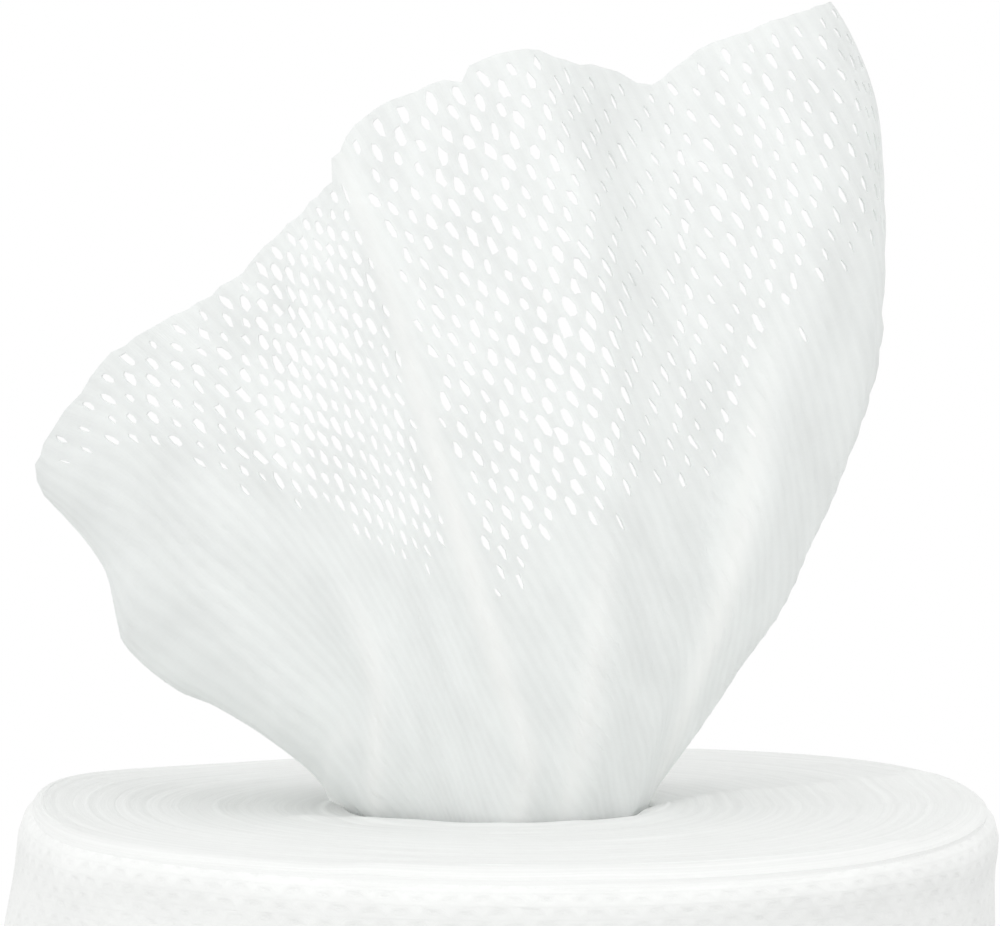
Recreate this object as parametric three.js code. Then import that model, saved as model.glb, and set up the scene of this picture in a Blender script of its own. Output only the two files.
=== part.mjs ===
// A centre-pull roll of apertured nonwoven wipes, standing on its end, with the leading wipe pulled up
// out of the core hole and left standing as a loose fan. Millimetres, +Z up, origin at the middle of the
// base. -Y is the front. The roll is one solid wound web; the wipe is a thin sheet that has torn free of
// it along its perforation and is only held by the hole.
import * as THREE from 'three';
import { mergeVertices } from 'three/addons/utils/BufferGeometryUtils.js';

// The wound roll.
const rollHeight = 200; // the width of the web
const rollRadius = 65;
const boreRadius = 19.5;
const shoulderRadius = 4.5; // soft outer edge of both ends
const boreLipRadius = 1; // soft edge of the core hole
const tailStep = 0.8; // outer end of the web, lying on the turn below
const tailAngle = 68; // degrees from +X, on the back
const sideBulge = 0.6; // how much the side swells at half height
const shoulderSlip = 4.2; // the left shoulder has slipped inwards
const slipAngle = 186; // degrees from +X
const slipReach = 17; // how far down the slip is felt
const cornerLift = 2.4; // and its back corner has been pushed up
const cornerAngle = 164;
const endTilt = 0.4; // the pulled end has slipped up a little on one side
const endSaddle = 0.7; // and stands in two soft humps
const humpAngle = 47; // the higher hump, at the back on the right
const columns = 56; // steps round the roll

// The turns on the ends, drawn as broad spiral bands: the true web is 0.5 mm thick.
const topBandPitch = 4;
const topBandDepth = 0.55;
const baseBandPitch = 8;
const baseBandDepth = 0.5;

// The leading wipe.
const wipeThickness = 0.6;
const fitGap = 0.3; // between the wipe and the wall of the hole
const mouthSink = 0.8; // the fan leaves the wall this far below the top face
const throatRise = 4.5; // how far the wipe rises before it starts to spread
const rootLowest = 35; // height above the base of the perforated end, on its left
const rootHighest = 125; // and on its right
const wipeWidth = 200; // the wipe is square
const frontGatherDepth = 3.2;
const backGatherDepth = 5.2;
const wipeSteps = 95; // steps across the wipe
const freeSteps = 18; // steps from the mouth to the free edge
const rootSteps = 4;

// Where the gathers of the wipe touch the wall of the hole, in degrees from +X.
const gathers = [104, 122, 141, 160, 181, 215, 248, 278, 296, 314, 334, 356, 376, 393, 410, 427, 443];

// Rays of the fan, from the hidden left side edge, round the front, to the right side edge. Each leaves
// the hole at an angle (degrees from +X), bends over a control point and ends on the free edge. Points
// are [x, y, height above the mouth] in hundredths of the wipe's width.
const rays = [
  { mouth: 97, over: [-3.75, 15, 6], edge: [-4.5, 14, 13.5] },
  { mouth: 138, over: [-16, 15.5, 5], edge: [-18.25, 13.5, 19.75] },
  { mouth: 186, over: [-24.75, 3, 6], edge: [-30.2, 2, 21.5] },
  { mouth: 213, over: [-20, -11, 8], edge: [-25.2, -3.5, 30] },
  { mouth: 237, over: [-13, -15, 16], edge: [-16.7, -6, 35.75] },
  { mouth: 264, over: [-1.75, -14, 22], edge: [-10, -5, 43.5] },
  { mouth: 294, over: [8.25, -13, 27], edge: [2, -5, 50.5] },
  { mouth: 314, over: [14.75, -9, 27], edge: [10.05, 1, 47.25] },
  { mouth: 330, over: [20, -8, 27], edge: [13.8, 1.5, 49.65] },
  { mouth: 346, over: [25, -6, 27], edge: [18.05, 2, 51.4] },
  { mouth: 370, over: [32, 2, 29], edge: [20.3, 3, 52.3] },
  { mouth: 406, over: [35.5, 11, 31], edge: [21.1, 3.65, 52.65] },
  { mouth: 443, over: [36.5, 18, 32.5], edge: [21.5, 4, 52.85] },
];

// Folds that run up the fan: the ray that each leaves at the mouth and the one it nears at the edge, how
// far it stands out (positive) or sinks in (negative) in hundredths of the wipe's width, its half width in
// ray steps, where it is strongest and how far from there it dies out, between mouth (0) and edge (1), and
// whether it is soft (0) or creased (1).
const folds = [
  { from: 5.45, to: 5.02, out: 1.6, width: 0.3, peak: 0.35, fade: 0.75, crisp: 1 },
  { from: 4.95, to: 4.55, out: -1, width: 0.42, peak: 0.4, fade: 0.55, crisp: 0 },
  { from: 5.85, to: 5.55, out: -0.8, width: 0.32, peak: 0.25, fade: 0.45, crisp: 0 },
  { from: 3.1, to: 4.5, out: 1.2, width: 0.28, peak: 0.14, fade: 0.42, crisp: 0.8 },
  { from: 2.75, to: 4, out: -1.2, width: 0.3, peak: 0.3, fade: 0.36, crisp: 0.2 },
  { from: 2.3, to: 1.9, out: 1, width: 0.32, peak: 0.08, fade: 0.3, crisp: 0.2 },
  { from: 6.2, to: 6.3, out: 1.3, width: 0.38, peak: 0.62, fade: 0.62, crisp: 0.2 },
  { from: 6.8, to: 6.66, out: -1.4, width: 0.3, peak: 0.56, fade: 0.52, crisp: 0.3 },
  { from: 7.45, to: 7.3, out: 0.7, width: 0.3, peak: 0.6, fade: 0.4, crisp: 0 },
  { from: 9.4, to: 8.2, out: -1.75, width: 0.3, peak: 0.5, fade: 0.52, crisp: 0.5 },
  { from: 10, to: 9.25, out: 1.8, width: 0.6, peak: 0.52, fade: 0.5, crisp: 0 },
];

const radians = THREE.MathUtils.degToRad;
const smooth = THREE.MathUtils.smoothstep;
const mouthHeight = rollHeight - mouthSink;
const fullTurn = Math.PI * 2;
const ofWidth = wipeWidth / 100;

// The slipped left shoulder and the uneven pulled end, applied to every point of the roll.
function settle(point) {
  const radius = Math.hypot(point.x, point.y);
  const angle = Math.atan2(point.y, point.x);
  const high = THREE.MathUtils.clamp(1 - (rollHeight - point.z) / slipReach, 0, 1);
  const toSlip = Math.max(0, Math.cos(angle - radians(slipAngle))) ** 10;
  const toCorner = Math.max(0, Math.cos(angle - radians(cornerAngle))) ** 8;
  const outward = Math.max(0, radius - boreRadius) / (rollRadius - boreRadius);
  const overShoulder = THREE.MathUtils.clamp(1 - (rollRadius - radius) / shoulderRadius, 0, 1);
  const slip = 1 - (shoulderSlip / rollRadius) * high * toSlip * overShoulder;
  const fromHump = angle - radians(humpAngle);
  const hump = endTilt * Math.cos(fromHump) + endSaddle * Math.cos(2 * fromHump);
  const swell = hump + cornerLift * toCorner * outward * outward;
  const top = smooth(point.z, rollHeight - 2 * shoulderRadius, rollHeight);
  return new THREE.Vector3(point.x * slip, point.y * slip, point.z + swell * outward * top);
}

// The outline of half an end, from the bore wall over the lip, across the face and over the shoulder.
function endOutline() {
  const lip = new THREE.Path();
  lip.moveTo(boreRadius, -boreLipRadius);
  lip.absarc(boreRadius + boreLipRadius, -boreLipRadius, boreLipRadius, Math.PI, Math.PI / 2, true);
  lip.lineTo(rollRadius - shoulderRadius, 0);
  lip.absarc(rollRadius - shoulderRadius, -shoulderRadius, shoulderRadius, Math.PI / 2, 0, true);
  return lip;
}

// One column of an end: points along the outline, with a groove wherever the spiral crosses this column.
// share is the column's part of a full turn, so a band that starts at 0 ends one pitch further out at 1.
function endColumn(outline, share, pitch, depth, crestShares) {
  const length = outline.getLength();
  const bands = Math.round(length / pitch);
  const step = length / bands;
  const points = [];
  for (let band = -1; band < bands; band += 1) {
    for (const crest of [0, ...crestShares]) {
      const along = THREE.MathUtils.clamp((band + share + crest) * step, 0, length);
      const place = outline.getPointAt(along / length);
      const tangent = outline.getTangentAt(along / length);
      const edgeFade = Math.min(1, along / step, (length - along) / step);
      const sink = crest === 0 ? depth * edgeFade : 0;
      points.push(new THREE.Vector2(place.x + tangent.y * sink, place.y - tangent.x * sink));
    }
  }
  points.push(outline.getPointAt(1));
  return points;
}

function sideRadius(share, height) {
  const turn = (share - tailAngle / 360 + 1) % 1;
  const swell = Math.sin((Math.PI * height) / rollHeight) * sideBulge;
  const clearOfEnds = smooth(Math.min(height, rollHeight - height), shoulderRadius, 2 * shoulderRadius);
  return rollRadius + (swell - tailStep * turn) * clearOfEnds;
}

// A closed ring of points for every column: up the bore, over the top, down the side, in over the base.
function rollColumn(share) {
  const outline = endOutline();
  const top = endColumn(outline, share, topBandPitch, topBandDepth, [0.5]);
  const base = endColumn(outline, share, baseBandPitch, baseBandDepth, [0.16, 0.84]);
  const endClear = 2 * shoulderRadius;
  const sideHeights = [1, 0.75, 0.5, 0.25, 0].map((part) =>
    THREE.MathUtils.lerp(endClear, rollHeight - slipReach, part),
  );
  const ring = [
    ...top.map((point) => [point.x, rollHeight + point.y]),
    ...sideHeights.map((height) => [sideRadius(share, height), height]),
    ...base.reverse().map((point) => [point.x, -point.y]),
    [boreRadius, rollHeight * 0.35],
    [boreRadius, rollHeight * 0.65],
  ];
  const angle = share * fullTurn;
  return ring.map(([radius, height]) =>
    settle(new THREE.Vector3(radius * Math.cos(angle), radius * Math.sin(angle), height)),
  );
}

// Joins neighbouring rings of points into triangles.
function stitch(triangles, rings) {
  for (let i = 0; i + 1 < rings.length; i += 1) {
    const here = rings[i];
    const next = rings[i + 1];
    for (let j = 0; j < here.length; j += 1) {
      const up = (j + 1) % here.length;
      triangles.push(here[j], next[j], next[up], here[j], next[up], here[up]);
    }
  }
}

// A geometry with shared vertices and without the triangles that have shrunk to a line.
function solidFrom(corners) {
  const positions = new Float32Array(corners.flatMap((corner) => [corner.x, corner.y, corner.z]));
  const soup = new THREE.BufferGeometry();
  soup.setAttribute('position', new THREE.BufferAttribute(positions, 3));
  const geometry = mergeVertices(soup, 1e-3);
  const index = geometry.getIndex().array;
  const kept = [];
  for (let i = 0; i < index.length; i += 3) {
    const [a, b, c] = index.slice(i, i + 3);
    if (a !== b && b !== c && c !== a) kept.push(a, b, c);
  }
  geometry.setIndex(kept);
  geometry.computeVertexNormals();
  return geometry;
}

function woundRoll() {
  const grid = [];
  const tailShare = tailAngle / 360;
  for (let i = 0; i < columns; i += 1) grid.push(i / columns);
  grid.push(tailShare - 1e-4, tailShare + 1e-4);
  grid.sort((a, b) => a - b);
  const corners = [];
  stitch(corners, [...grid, 1].map(rollColumn).reverse());
  return solidFrom(corners);
}

// Values of the ray list, read smoothly at any place between two rays.
const rayPoint = (shares) => new THREE.Vector3(...shares).multiplyScalar(ofWidth);
const rayCurves = {
  over: new THREE.CatmullRomCurve3(rays.map((ray) => rayPoint(ray.over)), false, 'centripetal'),
  edge: new THREE.CatmullRomCurve3(rays.map((ray) => rayPoint(ray.edge)), false, 'centripetal'),
  mouth: new THREE.SplineCurve(rays.map((ray, place) => new THREE.Vector2(place, ray.mouth))),
};

// How far the gathers pull the wipe in from the wall of the hole: deeper on the back than in front.
function gatherPull(degrees) {
  const back = 0.5 + 0.5 * Math.sin(radians(degrees));
  const depth = THREE.MathUtils.lerp(frontGatherDepth, backGatherDepth, back);
  const after = gathers.findIndex((touch, place) => place > 0 && (degrees < touch || place === gathers.length - 1));
  const phase = (degrees - gathers[after - 1]) / (gathers[after] - gathers[after - 1]);
  return depth * (0.5 - 0.5 * Math.cos(fullTurn * phase));
}

function throatPoint(across, height) {
  const degrees = rayCurves.mouth.getPoint(across).y;
  const angle = radians(degrees);
  const radius = boreRadius - fitGap - wipeThickness / 2 - gatherPull(degrees);
  return new THREE.Vector3(radius * Math.cos(angle), radius * Math.sin(angle), height);
}

// A point of the smooth fan, before its folds: up is 0 at the mouth and 1 at the free edge.
function fanPoint(across, up) {
  const mouth = throatPoint(across, mouthHeight);
  const risen = throatPoint(across, mouthHeight + throatRise);
  const lift = new THREE.Vector3(0, 0, mouthHeight);
  const over = rayCurves.over.getPoint(across).add(lift);
  const edge = rayCurves.edge.getPoint(across).add(lift);
  return new THREE.CubicBezierCurve3(mouth, risen, over, edge).getPoint(up);
}

function fanNormal(across, up) {
  const reach = 1e-3;
  const left = Math.max(0, across - reach);
  const right = Math.min(1, across + reach);
  const low = Math.max(0, up - reach);
  const high = Math.min(1, up + reach);
  const alongRow = fanPoint(right, up).sub(fanPoint(left, up));
  const alongRay = fanPoint(across, high).sub(fanPoint(across, low));
  return alongRow.cross(alongRay).normalize();
}

// The smooth fan pushed in or out by its long folds, which start clear of the lip of the hole.
function wipePoint(across, up) {
  if (up <= 0) return throatPoint(across, mouthHeight + up * (mouthHeight - rootHeight(across)));
  let push = 0;
  for (const fold of folds) {
    const ray = THREE.MathUtils.lerp(fold.to, fold.from, (1 - up) ** 2);
    const aside = Math.abs(across * (rays.length - 1) - ray) / fold.width;
    const form = THREE.MathUtils.lerp(Math.exp(-aside * aside), Math.exp(-1.3 * aside), fold.crisp);
    const along = (up - fold.peak) / fold.fade;
    push += fold.out * ofWidth * form * Math.max(0, 1 - along * along);
  }
  return fanPoint(across, up).addScaledVector(fanNormal(across, up), push * smooth(up, 0.03, 0.16));
}

function rootHeight(across) {
  return THREE.MathUtils.lerp(rootLowest, rootHighest, across);
}

function wipeNormal(across, up) {
  const reach = 2e-3;
  const left = Math.max(0, across - reach);
  const right = Math.min(1, across + reach);
  const low = Math.max(-1, up - reach);
  const high = Math.min(1, up + reach);
  const alongRow = wipePoint(right, up).sub(wipePoint(left, up));
  const alongRay = wipePoint(across, high).sub(wipePoint(across, low));
  return alongRow.cross(alongRay).normalize();
}

// The sheet has two skins, half its thickness to either side of the surface, joined along its rim.
function leadingWipe() {
  const heights = [];
  for (let j = 0; j < rootSteps; j += 1) heights.push(-1 + j / rootSteps);
  for (let j = 0; j <= freeSteps; j += 1) heights.push(j / freeSteps);
  const outer = [];
  const inner = [];
  for (let i = 0; i <= wipeSteps; i += 1) {
    const across = i / wipeSteps;
    const column = heights.map((up) => [wipePoint(across, up), wipeNormal(across, up)]);
    outer.push(column.map(([point, normal]) => point.clone().addScaledVector(normal, wipeThickness / 2)));
    inner.push(column.map(([point, normal]) => point.clone().addScaledVector(normal, -wipeThickness / 2)));
  }
  const corners = [];
  stitch(corners, outer.map((column, i) => [...column, ...inner[i].slice().reverse()]));
  for (const [i, turned] of [[0, false], [wipeSteps, true]]) {
    for (let j = 0; j + 1 < heights.length; j += 1) {
      const quad = [outer[i][j], outer[i][j + 1], inner[i][j + 1], inner[i][j]];
      if (turned) quad.reverse();
      corners.push(quad[0], quad[1], quad[2], quad[0], quad[2], quad[3]);
    }
  }
  return solidFrom(corners);
}

function piece(name, geometry, material) {
  const mesh = new THREE.Mesh(geometry, material);
  mesh.name = name;
  return mesh;
}

const woundWeb = new THREE.MeshStandardMaterial({ color: 0xeceeeb, roughness: 0.95, metalness: 0 });
const singleWipe = new THREE.MeshStandardMaterial({ color: 0xeff1ef, roughness: 0.95, metalness: 0 });

const group = new THREE.Group();
group.add(piece('wound_roll', woundRoll(), woundWeb));
group.add(piece('leading_wipe', leadingWipe(), singleWipe));

export default group;
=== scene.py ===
"""A centre-pull roll of apertured nonwoven wipes with its leading wipe drawn up into a loose fan.
The file is laid out as an add-on and is run as a script. Lengths are in millimetres until a mesh is made."""

import math

import bpy
import numpy as np
from bpy.props import FloatProperty, FloatVectorProperty, IntProperty, PointerProperty
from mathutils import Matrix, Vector


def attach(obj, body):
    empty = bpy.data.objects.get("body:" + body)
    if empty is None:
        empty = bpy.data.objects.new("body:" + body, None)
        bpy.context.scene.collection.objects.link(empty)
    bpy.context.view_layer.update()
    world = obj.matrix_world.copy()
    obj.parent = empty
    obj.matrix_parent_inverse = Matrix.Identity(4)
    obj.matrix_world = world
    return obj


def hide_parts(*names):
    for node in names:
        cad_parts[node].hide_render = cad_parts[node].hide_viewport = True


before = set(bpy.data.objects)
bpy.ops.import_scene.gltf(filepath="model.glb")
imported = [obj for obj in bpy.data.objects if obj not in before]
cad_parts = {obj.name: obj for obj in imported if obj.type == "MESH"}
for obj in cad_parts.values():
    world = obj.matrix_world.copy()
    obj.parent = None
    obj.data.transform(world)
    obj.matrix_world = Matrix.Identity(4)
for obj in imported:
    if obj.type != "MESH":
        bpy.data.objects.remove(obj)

bl_info = {
    "name": "Roll of nonwoven wipes",
    "version": (1, 0, 0),
    "blender": (4, 5, 0),
    "location": "3D View > Sidebar > Wipes",
    "description": "Builds a centre-pull roll of apertured nonwoven wipes on its packed frame",
    "category": "Add Mesh",
}

MM = 0.001
LATTICE = 64  # nodes each way of the lattice that the noise is read from, over and over
CREASE_ANGLE = 50  # an edge with a sharper turn is drawn sharp

# The roll. It follows its solid, but for how far the shoulder has slipped and the small swell at the right.
ROLL_HEIGHT = 200.0
ROLL_RADIUS = 65.0
BORE_RADIUS = 19.5
SHOULDER_RADIUS = 4.5
LIP_RADIUS = 1.0
END_FLAT = ROLL_RADIUS - SHOULDER_RADIUS - BORE_RADIUS - LIP_RADIUS
SIDE_BULGE = 0.6
# The slipped left shoulder: how far in, where, how far down, how narrow, and how much of the rim slips whole.
SHOULDER_SLIP = 3.0
SLIP_ANGLE = 186.0
SLIP_REACH = 17.0
SLIP_FOCUS = 10
SLIP_RIM = 1.5
# The pulled end tilts, stands in two humps and swells at its rim: angle, height and half width in degrees.
END_TILT = 0.4
END_SADDLE = 0.7
HUMP_ANGLE = 47.0
END_SWELLS = ((164.0, 2.4, 28.0), (15.0, 1.1, 33.0))

# The wound body under the outer turn: rows of nodes down its side and its hole, how far the side keeps under
# the outer turn and the rows of the hole from both ends, and the step of the web's flat place a turn.
SIDE_ROWS = 12
BORE_ROWS = 24
BODY_CLEARANCE = 0.35
BORE_INSET = 8
WEB_SHIFT = 37.0
# On its ends groups of turns stand above others, in two sizes, and each turn differs a little.
GROUP_WIDTHS = (3.1, 1.3)
TURN_RATE = 2.3
TURN_RISE = 0.05
# Near the outer turn's edge the body sinks under it: from, to and how much further than the web's thickness.
SINK_FROM = 0.1
SINK_TO = 0.7
SINK_MORE = 0.04

# The outer turn ends on the shoulders, where it leans so far out. It runs a little over itself, its edges are
# tucked in so far over such a reach, and the pit at every aperture has so many corners.
WRAP_LEAN = 0.7
OUTER_TURNS = 1.012
EDGE_TUCK = 0.25
TUCK_REACH = 0.7
PIT_CORNERS = 5
# Its loose end: the step to the turn below, its place, and how far it stands off, fades and waves.
TAIL_STEP = 0.8
TAIL_ANGLE = 68.0
TAIL_LIFT = 0.9
LIFT_REACH = 5
LIFT_WAVE = 23
# Its soft unevenness: height, noise steps a turn and their start, length down the roll, seed.
SLACK = ((0.16, 31, 3, 17, 21), (0.05, 90, 0, 5, 22))

# The leading wipe. Its heights and rays follow its solid, where two of the rays bend a little otherwise.
MOUTH_HEIGHT = 199.2
THROAT_RISE = 4.5
FIT_GAP = 0.4
ROOT_LOWEST = 35.0
ROOT_HIGHEST = 125.0
# Rays of the fan: mouth angle, bend and free edge, from the hidden left side round the front.
RAYS = (
    (97, (-7.5, 30, 12), (-9, 28, 27)),
    (138, (-32, 31, 10), (-36.5, 27, 39.5)),
    (186, (-52, 6, 13), (-60.4, 4, 43)),
    (213, (-40, -22, 16), (-50.4, -7, 60)),
    (237, (-26, -30, 32), (-33.4, -12, 71.5)),
    (264, (-3.5, -28, 44), (-20, -10, 87)),
    (294, (16.5, -26, 54), (4, -10, 101)),
    (314, (29.5, -18, 54), (20.1, 2, 94.5)),
    (330, (40, -16, 54), (27.6, 3, 99.3)),
    (346, (50, -12, 54), (36.1, 4, 102.8)),
    (370, (67, 4, 57), (40.6, 6, 104.6)),
    (406, (71, 22, 62), (42.2, 7.3, 105.3)),
    (443, (73, 36, 65), (43, 8, 105.7)),
)
# Where each ray runs on the flat wipe: across at the torn edge, across and along at the mouth, across at the
# root, and how far it bows to the right between mouth and edge.
FLAT_RAYS = (
    (0, 0, 168, 0, 0),
    (32, 27, 160, 20, 0),
    (67, 62, 136, 50, -6),
    (84, 67, 133, 60, -6),
    (104, 74, 127, 70, -4),
    (130, 95, 115, 90, 5),
    (157, 107, 110.5, 107, 8),
    (172, 114, 110, 118, 9),
    (180, 122, 111, 128, 8),
    (190, 131, 111, 138, 8),
    (195, 145, 105, 152, 9),
    (198.5, 172, 92, 176, 4),
    (200, 200, 72, 200, 0),
)
# How far up each ray, from mouth (0) to edge (1), another layer lies behind this one.
LAYERED = (0.8, 0.9, 1.02, 0.84, 0.62, 0.38, 0.42, 0.49, 0.5, 0.67, 0.72, 0.72, 0.72)
# Places where the web is thin and its apertures have opened, as ray and reach, and how far they spread.
THIN_PLACES = ((3.1, 0.91), (4.3, 0.79), (5.45, 0.93), (5.95, 0.63), (6.1, 0.49), (9.3, 0.84))
THIN_SPREAD = (0.45, 0.13)
# How much wider and longer an aperture is in a thin place, and how much less where it has drawn shut.
THIN_OPENING = (0.4, 0.2)
SHUT_CLOSING = (0.5, 0.2)
# It keeps its own size where the cloth is bunched or stretched, within these limits across and along.
STRETCH_ACROSS = (0.8, 1.8)
STRETCH_ALONG = (0.9, 1.6)
# Apertures draw shut from so far below to so far above the end of a layer, and so near to a crest, with some
# chance in it. A shut one is a dimple of this depth.
LAYER_FADE = (0.1, 0.06)
SHUT_CREST = (0.2, 0.6)
SHUT_CHANCE = 0.3
DIMPLE = 0.045
# Corners of a free aperture, of one that has drawn shut, and of one down in the hole.
FREE_CORNERS = 8
SHUT_CORNERS = 6
HIDDEN_CORNERS = 4
# How holes differ: least and most of size and of each point of the rim, lean, and place across and along.
HOLE_SIZE = (0.7, 1.15)
RIM_SIZE = (0.7, 1.2)
HOLE_LEAN = 0.14
SHIFT_ACROSS = 0.1
SHIFT_ALONG = 0.06
# A rim keeps so far inside its cell, across and along.
KEEP_ACROSS = 0.06
KEEP_ALONG = 0.1
# Where the gathers touch the wall of the hole, in degrees, with the step before the first of them. Between
# wall and gathers is a clearance, and down the hole they wander aside and change in depth over such lengths.
GATHERS = (104, 122, 141, 160, 181, 215, 278, 306, 334, 362, 383, 403, 423, 443)
FIRST_GATHER = 18
GATHER_CLEARANCE = 0.3
WANDER_ASIDE = 0.08
ASIDE_LENGTH = 40
WANDER_DEEP = 0.3
DEEP_LENGTH = 60
# How far the torn edge runs out or in of the smooth one, from left to right across the wipe.
TORN_EDGE = (
    ((80, 0.2), (83, 0.7), (87, 0.1), (109, -0.2), (117, -1.2), (125.5, -2.1), (127, 0.1), (130, 0.2))
    + ((132, 1.6), (136, 1.9), (144, 0.6), (145, 0.5), (146.5, -1.5), (148, 0.1), (157, -0.4), (160, -2.3))
    + ((163, -1.6), (166, 0), (169, 0.9), (171, 0), (174, 1.0), (180, 0.8), (190, 0.4), (196, 0))
)
TEAR_DEPTH = 12  # so much of the wipe follows its torn edge, which is frayed from and to
FRAY = (-0.25, 0.35)
# Long folds: out (+) or in (-), half width, how steep the left side is against the right, where between mouth
# (0) and edge (1) it is strongest and how far from there it has faded, and the places that it runs through,
# as reach and ray.
FOLDS = (
    (2.6, 2.2, 1.0, 0.35, 0.85, ((0, 5.38), (0.09, 5.5), (0.22, 5.25), (0.32, 5.13), (0.5, 5.0), (1, 4.95))),
    (-1.8, 4.5, 0.0, 0.26, 0.22, ((0.1, 5.05), (0.32, 4.7), (0.45, 4.55))),
    (-1.5, 3.2, 0.0, 0.25, 0.35, ((0.05, 5.8), (0.3, 5.5), (0.5, 5.35))),
    (2.4, 2.6, 0.8, 0.16, 0.30, ((0, 3.05), (0.14, 3.78), (0.24, 4.1), (0.32, 4.2))),
    (-2.4, 5.0, 0.0, 0.28, 0.30, ((0.05, 2.6), (0.15, 3.2), (0.26, 3.7), (0.36, 3.6), (0.5, 3.4))),
    (1.8, 2.5, 0.8, 0.08, 0.16, ((0, 1.95), (0.08, 2.05), (0.19, 3.47), (0.24, 3.7))),
    (1.6, 4.0, 0.2, 0.42, 0.45, ((0, 6.17), (1, 6.17))),
    (1.0, 1.6, 0.8, 0.16, 0.24, ((0, 6.12), (0.4, 6.17))),
    (1.8, 6.0, 0.0, 0.62, 0.42, ((0, 7.0), (1, 7.0))),
    (-2.6, 3.2, 0.4, 0.40, 0.44,
        ((0.02, 9.4), (0.13, 8.6), (0.27, 8.05), (0.4, 7.9), (0.55, 7.95), (0.7, 8.25))),
    (1.2, 1.6, 0.8, 0.30, 0.36,
        ((0.02, 9.6), (0.13, 9.0), (0.27, 8.5), (0.4, 8.35), (0.55, 8.4), (0.7, 8.7))),
    (2.6, 8.0, 0.0, 0.45, 0.40, ((0.1, 9.5), (0.42, 9.0), (0.7, 9.0))),
    (2.2, 12.0, 0.0, 0.50, 0.30, ((0.1, 9.9), (0.41, 10.2), (0.52, 10.6), (1, 11.5))),
    (1.2, 4.5, 0.0, 0.72, 0.36, ((0.47, 4.47), (0.72, 3.95), (1, 3.4))),
    (-3.4, 14.0, 0.0, 0.80, 0.18, ((0, 2.0), (1, 2.1))),
    (1.2, 14.0, 0.0, 0.58, 0.16, ((0, 2.0), (1, 2.0))),
    (-1.6, 12.0, 0.0, 0.25, 0.20, ((0, 1.95), (1, 1.95))),
)
# The steep left side of a fold falls off so fast, its right side is so many half widths wide, its crest is
# so wide, and it is at its full height so far above the mouth. Rays count as no closer than this.
STEEP_FALL = 1.3
GENTLE_WIDTH = 3
CREST_WIDTH = 1.6
FOLD_START = 0.12
LEAST_APART = 4
# Dents: share, length across and its start, length along and its start, seed.
DENTS = ((0.6, 15, 0, 21, 0, 51), (0.4, 7, 5, 12, 0, 52), (0.25, 3.4, 0, 9, 3, 53))
# Links that keep the cloth's nodes apart: steps across, steps along, stiffness. Each round overshoots a bit.
LINKS = ((1, 0, 1), (0, 1, 1), (1, 1, 0.5), (1, -1, 0.5), (2, 0, 0.25), (0, 2, 0.25), (5, 0, 0.1), (0, 5, 0.1))
OVERSHOOT = 1.2
# How fast a node is drawn back to its held place: anywhere, near the torn edge and near the mouth.
LOOSE_GRIP = 0.05
EDGE_GRIP = 0.5
MOUTH_GRIP = 0.3
EDGE_ZONE = 0.93
MOUTH_ZONE = 0.3
# The moves are then evened out, over so many nodes to each side across and along, so many times.
STIFF_REACH = (5, 4)
STIFF_ROUNDS = 3
# Steps across and up the fan, and across the flat wipe, between which places are read.
FAN_RAYS = 481
FAN_STEPS = 121
FLAT_STEPS = 1201
# Ridges where turns stand up on the pulled end: places along each, its height and its half width.
END_RIDGES = (
    (((20, -7), (25, 4), (31, 10), (39, 13), (46, 17), (55, 18)), 0.7, 3.0),
    (((44, 34), (49, 29), (54, 20)), 0.5, 2.0),
    (((-25, -12), (-12, -17), (0, -20), (12, -18), (21, -11)), 0.5, 2.2),
    (((-16, -59), (12, -60), (35, -49), (50, -34)), 0.5, 3.2),
)

# Fibres along the web and across it, and clouds where they lie thicker: how far each runs across and along.
FIBRES = (0.22, 2.6)
CROSS_FIBRES = (0.9, 0.28)
CLOUDS = (6.0, 11.0)
# How much each of them and the ribs between the rows of holes change the tone, and where the tone starts.
FIBRE_TONE = 0.4
CROSS_TONE = 0.3
CLOUD_TONE = 1.1
RIB_TONE = 0.12
TONE_START = 0.4
DARK_TONE = 0.94
LIGHT_TONE = 1.03
# Painted highlight: the crests of the steep folds are painted lighter, by this share and towards this nearly
# white colour, where the ridge catches the light.
CREST_HIGHLIGHT_TONE = 0.65
CREST_HIGHLIGHT_COLOUR = (1.0, 1.0, 0.99)
# How much the fibres make of the relief, its depth on each web, and the light let through by the loose layer.
FIBRE_RELIEF = 0.7
CROSS_RELIEF = 0.3
WOUND_RELIEF = 0.03
OUTER_RELIEF = 0.05
LOOSE_RELIEF = 0.04
SEE_THROUGH = 0.5
WEB_ROUGHNESS = 0.84
CLOUD_ROUGHNESS = 0.14

# The stage, in metres: lamps with their places and sizes, the floor and the view.
KEY_LAMP = ((-1.3, -1.8, 0.8), 1.4)
FILL_LAMP = ((1.6, -1.3, 0.5), 1.2)
LAMP_AIM = (0, 0, 0.24)
FLOOR_REACH = 30.0
FLOOR_TONE = 0.6
FLOOR_FADE = (0.35, 1.1)
FLOOR_GLOW = 0.7  # share of plain white in the floor near the roll
VIEW_AIM = (0, 0, 0.245)
VIEW_WIDTH = 0.13
SENSOR_WIDTH = 36


def smooth(value, low, high):
    """Hermite step from 0 at low to 1 at high."""
    share = np.clip((value - low) / (high - low), 0, 1)
    return share * share * (3 - 2 * share)


def blend(a, b, share):
    return a + (b - a) * share


def value_noise(x, y, seed):
    """Smooth noise from -1 to 1 on a lattice with a step of 1."""
    lattice = np.random.default_rng(seed).uniform(-1, 1, (LATTICE, LATTICE))
    i, j = np.floor(x).astype(int), np.floor(y).astype(int)
    u, v = smooth(x - i, 0, 1), smooth(y - j, 0, 1)
    corner = [lattice[(i + a) % LATTICE, (j + b) % LATTICE] for a in (0, 1) for b in (0, 1)]
    return blend(blend(corner[0], corner[1], v), blend(corner[2], corner[3], v), u)


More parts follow.
